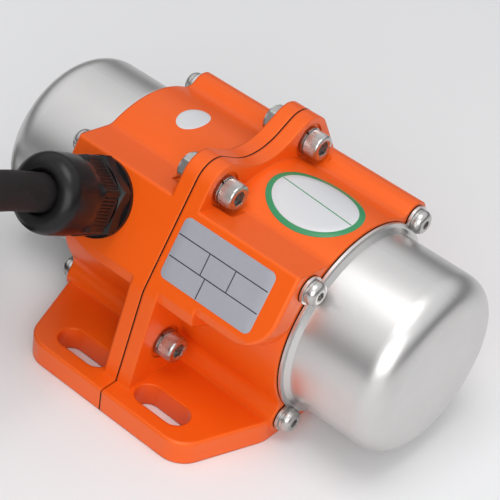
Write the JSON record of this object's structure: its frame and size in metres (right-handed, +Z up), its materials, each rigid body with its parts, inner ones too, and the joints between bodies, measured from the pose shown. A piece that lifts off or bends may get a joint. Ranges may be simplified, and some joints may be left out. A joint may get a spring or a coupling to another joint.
{
  "type": "vibration motor",
  "caption": "Small electric vibration motor on a slotted foot: two clamped housing halves, an eccentric weight under a steel cap at each end, and a supply cable.",
  "frame": {"origin": "middle of the foot's underside at the split between the housing halves, under the motor axis", "axes": "+X along the motor axis towards the end away from the cable gland; -Y is the front with the gland and the sloped pads; +Z up"},
  "size_m": [0.2915, 0.268, 0.0991],
  "materials": {
    "housing_paint": "glossy orange powder coat on die-cast metal",
    "cap_steel": "drawn stainless sheet, fine turned grain",
    "fastener_steel": "bright stainless fasteners",
    "black_gasket": "thin dark sealing sheet",
    "bearing_steel": "ground bearing steel",
    "cage_brass": "machined cage",
    "lamination_steel": "stacked electrical sheet",
    "copper_winding": "varnished copper wire, drawn as one mass",
    "rotor_aluminium": "die-cast squirrel cage",
    "shaft_steel": "ground shaft steel",
    "weight_iron": "sawn and drilled plate",
    "gland_nylon": "black polyamide, satin",
    "gland_rubber": "soft sealing bush",
    "cable_jacket": "black rubber jacket",
    "core_insulation": "insulated cores"
  },
  "bodies": {
    "housing": {"bearing_clips": "shaft_steel", "bearing_outer_ring_left": "bearing_steel", "bearing_outer_ring_right": "bearing_steel", "cable_coil": "cable_jacket", "cable_end_wires": "core_insulation", "cap_screws_left": "fastener_steel", "cap_screws_right": "fastener_steel", "cap_seal_left": "black_gasket", "cap_seal_right": "black_gasket", "cap_washers_left": "fastener_steel", "cap_washers_right": "fastener_steel", "end_cap_left": "cap_steel", "end_cap_right": "cap_steel", "flange_flat_washers": "fastener_steel", "flange_gasket": "black_gasket", "flange_lock_washers": "fastener_steel", "flange_nuts": "fastener_steel", "flange_screws": "fastener_steel", "gland_body": "gland_nylon", "gland_nut": "gland_nylon", "gland_seal": "gland_rubber", "gland_washer": "black_gasket", "housing_left": "housing_paint", "housing_right": "housing_paint", "motor_lead_wires": "core_insulation", "stator_core": "lamination_steel", "stator_winding": "copper_winding", "supply_cable": "cable_jacket"},
    "rotor": {"bearing_inner_ring_left": "bearing_steel", "bearing_inner_ring_right": "bearing_steel", "fixed_weight_left": "weight_iron", "fixed_weight_right": "weight_iron", "fixed_weight_screw_left": "fastener_steel", "fixed_weight_screw_right": "fastener_steel", "rotor_cage": "rotor_aluminium", "rotor_core": "lamination_steel", "rotor_shaft": "shaft_steel", "shaft_clips": "shaft_steel", "weight_keys": "shaft_steel"},
    "ball_set_right": {"bearing_balls_right": "bearing_steel", "bearing_cage_right": "cage_brass"},
    "ball_set_left": {"bearing_balls_left": "bearing_steel", "bearing_cage_left": "cage_brass"},
    "adjustable_weight_right": {"adjustable_weight_right": "weight_iron", "adjustable_weight_screw_right": "fastener_steel"},
    "adjustable_weight_left": {"adjustable_weight_left": "weight_iron", "adjustable_weight_screw_left": "fastener_steel"}
  },
  "joints": [
    {"name": "rotor_spin", "type": "hinge", "parent": "housing", "child": "rotor", "pos_m": [0, 0, 0.0391], "axis": [1, 0, 0], "continuous": true},
    {"name": "ball_set_right_roll", "type": "hinge", "parent": "housing", "child": "ball_set_right", "pos_m": [0.0431, 0, 0.0391], "axis": [1, 0, 0], "continuous": true},
    {"name": "adjustable_weight_right_turn", "type": "hinge", "parent": "rotor", "child": "adjustable_weight_right", "pos_m": [0.073, 0, 0.0391], "axis": [1, 0, 0], "range_deg": [0, 180]},
    {"name": "ball_set_left_roll", "type": "hinge", "parent": "housing", "child": "ball_set_left", "pos_m": [-0.0431, 0, 0.0391], "axis": [1, 0, 0], "continuous": true},
    {"name": "adjustable_weight_left_turn", "type": "hinge", "parent": "rotor", "child": "adjustable_weight_left", "pos_m": [-0.073, 0, 0.0391], "axis": [1, 0, 0], "range_deg": [0, 180]}
  ],
  "couplings": [
    {"joint": "ball_set_right_roll", "follows": "rotor_spin", "ratio": 0.38},
    {"joint": "ball_set_left_roll", "follows": "rotor_spin", "ratio": 0.38}
  ]
}
